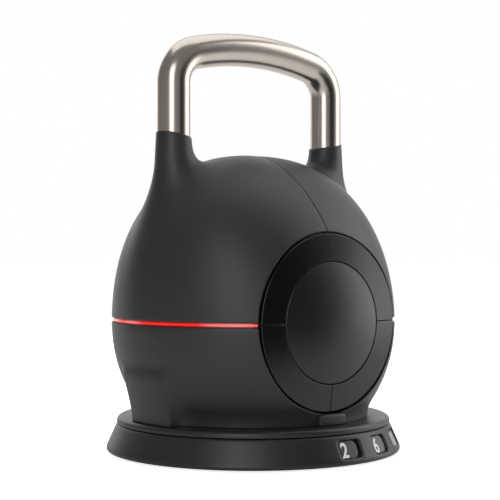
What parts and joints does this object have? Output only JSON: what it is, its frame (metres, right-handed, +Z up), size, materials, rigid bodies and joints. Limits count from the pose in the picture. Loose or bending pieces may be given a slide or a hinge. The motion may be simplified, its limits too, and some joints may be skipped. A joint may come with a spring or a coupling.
{
  "type": "adjustable kettlebell",
  "caption": "Adjustable kettlebell with a bent steel handle, a hollow ball with two side caps and a lit line, standing on a round numbered base that it twists on.",
  "frame": {"origin": "centre of the base's resting plane, under its six rubber feet", "axes": "+Z up along the twist axis; X along the handle; -Y is the front, with the first number window and the index mark"},
  "size_m": [0.2536, 0.2536, 0.3592],
  "materials": {
    "base_satin": "satin moulded",
    "base_under": "moulded",
    "battery_wrap": "shrink wrapped",
    "bezel_satin": "satin moulded",
    "board_green": "solder resist",
    "core_aluminium": "die cast",
    "disc_satin": "satin moulded",
    "dowel_steel": "ground",
    "foot_rubber": "moulded",
    "handle_steel": "satin nickel plated tube",
    "index_red": "moulded insert",
    "inner_black": "moulded",
    "light_red": "lit acrylic",
    "magnet_nickel": "nickel plated",
    "pedestal_cast": "cast, painted black",
    "plate_steel": "black oxide",
    "retainer_steel": "pressed",
    "shell_soft": "soft touch moulded",
    "slide_polymer": "natural acetal",
    "spindle_steel": "turned",
    "steel_screw": "zinc plated",
    "strip_black": "printed strip",
    "turntable_satin": "satin moulded"
  },
  "bodies": {
    "base": {"base_feet": "foot_rubber", "base_floor": "base_under", "base_magnets": "magnet_nickel", "base_screws": "steel_screw", "base_skirt": "base_satin", "number_strip": "strip_black", "pedestal": "pedestal_cast", "pedestal_screws": "steel_screw", "plate_dowels": "dowel_steel", "slide_ring": "slide_polymer", "weight_plate_1": "plate_steel", "weight_plate_2": "plate_steel", "weight_plate_3": "plate_steel", "weight_plate_4": "plate_steel", "weight_plate_5": "plate_steel"},
    "turntable": {"drive_keys": "dowel_steel", "index_mark": "index_red", "retaining_ring": "retainer_steel", "retaining_screws": "steel_screw", "turntable_magnet": "magnet_nickel", "turntable_plate": "turntable_satin"},
    "bell": {"battery_pack": "battery_wrap", "battery_tray": "inner_black", "board_posts": "dowel_steel", "cap_screws": "steel_screw", "carrier_screws": "steel_screw", "control_board": "board_green", "core_frame": "core_aluminium", "front_bezel_1": "bezel_satin", "front_bezel_2": "bezel_satin", "front_bezel_3": "bezel_satin", "front_bezel_4": "bezel_satin", "front_cap_backplate": "inner_black", "front_cap_disc": "disc_satin", "front_foot": "shell_soft", "handle_bolts": "steel_screw", "handle_tube": "handle_steel", "led_strip_left": "board_green", "led_strip_right": "board_green", "light_carrier_left": "inner_black", "light_carrier_right": "inner_black", "light_guide_left": "light_red", "light_guide_right": "light_red", "lower_shell_left": "shell_soft", "lower_shell_right": "shell_soft", "rear_bezel_1": "bezel_satin", "rear_bezel_2": "bezel_satin", "rear_bezel_3": "bezel_satin", "rear_bezel_4": "bezel_satin", "rear_cap_backplate": "inner_black", "rear_cap_disc": "disc_satin", "rear_foot": "shell_soft", "selector_spindle": "spindle_steel", "shell_screws": "steel_screw", "spindle_screws": "steel_screw", "upper_shell_left": "shell_soft", "upper_shell_right": "shell_soft"}
  },
  "joints": [
    {"name": "twist", "type": "hinge", "parent": "base", "child": "turntable", "pos_m": [0, 0, 0.0254], "axis": [0, 0, 1], "range_deg": [0, 92.5]},
    {"name": "lift", "type": "slide", "parent": "turntable", "child": "bell", "axis": [0, 0, 1], "range_m": [0, 0.15]}
  ]
}
